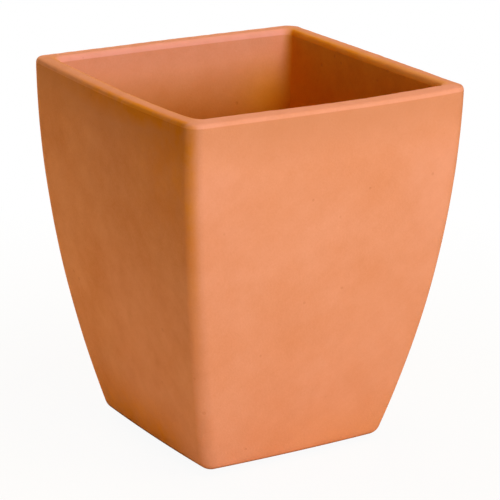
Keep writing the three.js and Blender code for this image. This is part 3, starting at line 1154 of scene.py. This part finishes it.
def make_fired_clay():
    material, tree, shader, coordinates = new_material("fired_clay")
    patches = place_group(tree, uneven_tone, Vector=coordinates, Patch_Size=PATCH_SIZE, Contrast=1.5)
    mottle = place_group(tree, uneven_tone, Vector=coordinates, Patch_Size=MOTTLE_SIZE, Contrast=1.2)
    grain = place_group(tree, pitted_grain, Vector=coordinates, Grain_Size=GRAIN_SIZE,
                        Pit_Spacing=PIT_SPACING, Pit_Share=PIT_SHARE)
    streaks = wiped_streaks(tree, coordinates)
    terms = (patches["Tone"], PATCH_SHARE), (mottle["Tone"], MOTTLE_SHARE), (streaks, STREAK_SHARE)
    grainy = remap(tree, grain["Height"], *NOISE_RANGE, -GRAIN_TONE, GRAIN_TONE)
    tone = maths(tree, "ADD", weighted(tree, *terms), grainy)
    strength = remap(tree, painted(tree, "fire_marks"), 0.0, 1.0, *MARK_STRENGTH)
    spread = maths(tree, "MULTIPLY", maths(tree, "SUBTRACT", tone, 0.5), strength)
    colour = mix_colours(tree, maths(tree, "ADD", spread, 0.5), CLAY_DEEP, CLAY_PALE)
    # wear, painted light and painted shade of each point
    wear = painted(tree, "wear_light_and_shade")
    # above zero: rubbed wear, and painted light and highlight
    cover = remap(tree, mottle["Tone"], *MOTTLE_RANGE, *RUBBED_AND_LIT_COVER)
    colour = mix_colours(tree, maths(tree, "MULTIPLY", wear, cover), colour, CLAY_RUBBED_AND_LIT)
    # from zero to -1: painted shade
    colour = mix_colours(tree, maths(tree, "MULTIPLY", wear, -1.0), colour, CLAY_SHADED)
    # below -1: deeper painted shade
    colour = mix_colours(tree, maths(tree, "SUBTRACT", -1.0, wear), colour, CLAY_DEEP_SHADE)
    # painted shade inside
    colour = mix_colours(tree, painted(tree, "deep_tone"), colour, INSIDE_SHADE_TINT, "MULTIPLY")
    # painted shade at the corners, the lip's bands and the foot
    cover = remap(tree, mottle["Tone"], *MOTTLE_RANGE, *EDGE_COVER)
    edge = maths(tree, "MULTIPLY", painted(tree, "edge_tone"), cover)
    colour = mix_colours(tree, edge, colour, EDGE_TINT, "MULTIPLY")
    colour = mix_colours(tree, maths(tree, "MULTIPLY", grain["Pits"], PIT_COVER), colour, CLAY_PIT)
    feed(tree, shader.inputs["Base Color"], colour)
    feed(tree, shader.inputs["Roughness"], remap(tree, mottle["Tone"], *NOISE_RANGE, *CLAY_ROUGHNESS))
    shader.inputs["Specular IOR Level"].default_value = CLAY_GLOSS
    bump = add_node(tree, "ShaderNodeBump", Strength=0.6, Distance=BUMP_DEPTH, Height=grain["Height"])
    feed(tree, shader.inputs["Normal"], bump.outputs[0])
    return material


fired_clay = make_fired_clay()
dress(clay, fired_clay)
print("clay nodes:", len(fired_clay.node_tree.nodes))

# %% [markdown]
# ## Moulded rubber
#
# The plug is dark brown rubber with a satin skin from its mould. A film of clay dust sits on it in
# patches, which dulls the gloss, and a very fine grain breaks up the highlights. One plain dark colour
# could do for so small a piece, but it would look like a hole in the floor.

# %% Make the rubber's finish
RUBBER_DARK = srgb(52, 42, 37)
RUBBER_DUSTY = srgb(92, 70, 58)
DUST_FROM, DUST_FULL, DUST_COVER = 0.45, 0.95, 0.55
DULL_RANGE, RUBBER_ROUGHNESS = (0.3, 0.9), (0.45, 0.75)


def make_moulded_rubber():
    material, tree, shader, coordinates = new_material("moulded_rubber")
    dust = place_group(tree, uneven_tone, Vector=coordinates, Patch_Size=6 * MM, Contrast=2.4)
    grain = place_group(tree, pitted_grain, Vector=coordinates, Grain_Size=0.35 * MM,
                        Pit_Spacing=2.5 * MM, Pit_Share=0.1)
    dusty = remap(tree, dust["Tone"], DUST_FROM, DUST_FULL, 0.0, DUST_COVER)
    feed(tree, shader.inputs["Base Color"], mix_colours(tree, dusty, RUBBER_DARK, RUBBER_DUSTY))
    feed(tree, shader.inputs["Roughness"], remap(tree, dust["Tone"], *DULL_RANGE, *RUBBER_ROUGHNESS))
    bump = add_node(tree, "ShaderNodeBump", Strength=0.4, Distance=0.05 * MM, Height=grain["Height"])
    feed(tree, shader.inputs["Normal"], bump.outputs[0])
    return material


moulded_rubber = make_moulded_rubber()
dress(plug, moulded_rubber)
print("rubber nodes:", len(moulded_rubber.node_tree.nodes))

# %% [markdown]
# ## Pressed cork
#
# Cork sheet is made of granules of bark glued under pressure. Each granule keeps its own tone, so a cell
# pattern gives the granules, and the shared pits give the small dark pores. Plain noise could speckle the
# cork too, but it has no edge between one granule and the next.

# %% Make the cork's finish
CORK_PALE = srgb(205, 164, 115)
CORK_DARK = srgb(138, 94, 56)
CORK_PORE = srgb(74, 46, 27)
CORK_GRANULE = 1.4 * MM
GRANULE_SHARE, SHADE_SHARE = 0.6, 0.4
PORE_COVER = 0.8
CORK_ROUGHNESS = (0.8, 0.95)


def make_pressed_cork():
    material, tree, shader, coordinates = new_material("pressed_cork")
    place = add_node(tree, "ShaderNodeVectorMath", {"operation": "SCALE"}, Vector=coordinates)
    place.inputs["Scale"].default_value = 1 / CORK_GRANULE
    cells = add_node(tree, "ShaderNodeTexVoronoi", Vector=place.outputs[0], Scale=1.0)
    own_tone = add_node(tree, "ShaderNodeSeparateColor", Color=cells.outputs["Color"]).outputs[0]
    shade = place_group(tree, uneven_tone, Vector=coordinates, Patch_Size=3 * MM, Contrast=1.5)
    grain = place_group(tree, pitted_grain, Vector=coordinates, Grain_Size=0.4 * MM,
                        Pit_Spacing=1.6 * MM, Pit_Share=0.35)
    tone = weighted(tree, (own_tone, GRANULE_SHARE), (shade["Tone"], SHADE_SHARE))
    colour = mix_colours(tree, tone, CORK_DARK, CORK_PALE)
    colour = mix_colours(tree, maths(tree, "MULTIPLY", grain["Pits"], PORE_COVER), colour, CORK_PORE)
    feed(tree, shader.inputs["Base Color"], colour)
    feed(tree, shader.inputs["Roughness"], remap(tree, shade["Tone"], *NOISE_RANGE, *CORK_ROUGHNESS))
    bump = add_node(tree, "ShaderNodeBump", Strength=0.7, Distance=0.15 * MM, Height=grain["Height"])
    feed(tree, shader.inputs["Normal"], bump.outputs[0])
    return material


pressed_cork = make_pressed_cork()
for pad in pads:
    dress(pad, pressed_cork)
print("cork nodes:", len(pressed_cork.node_tree.nodes))
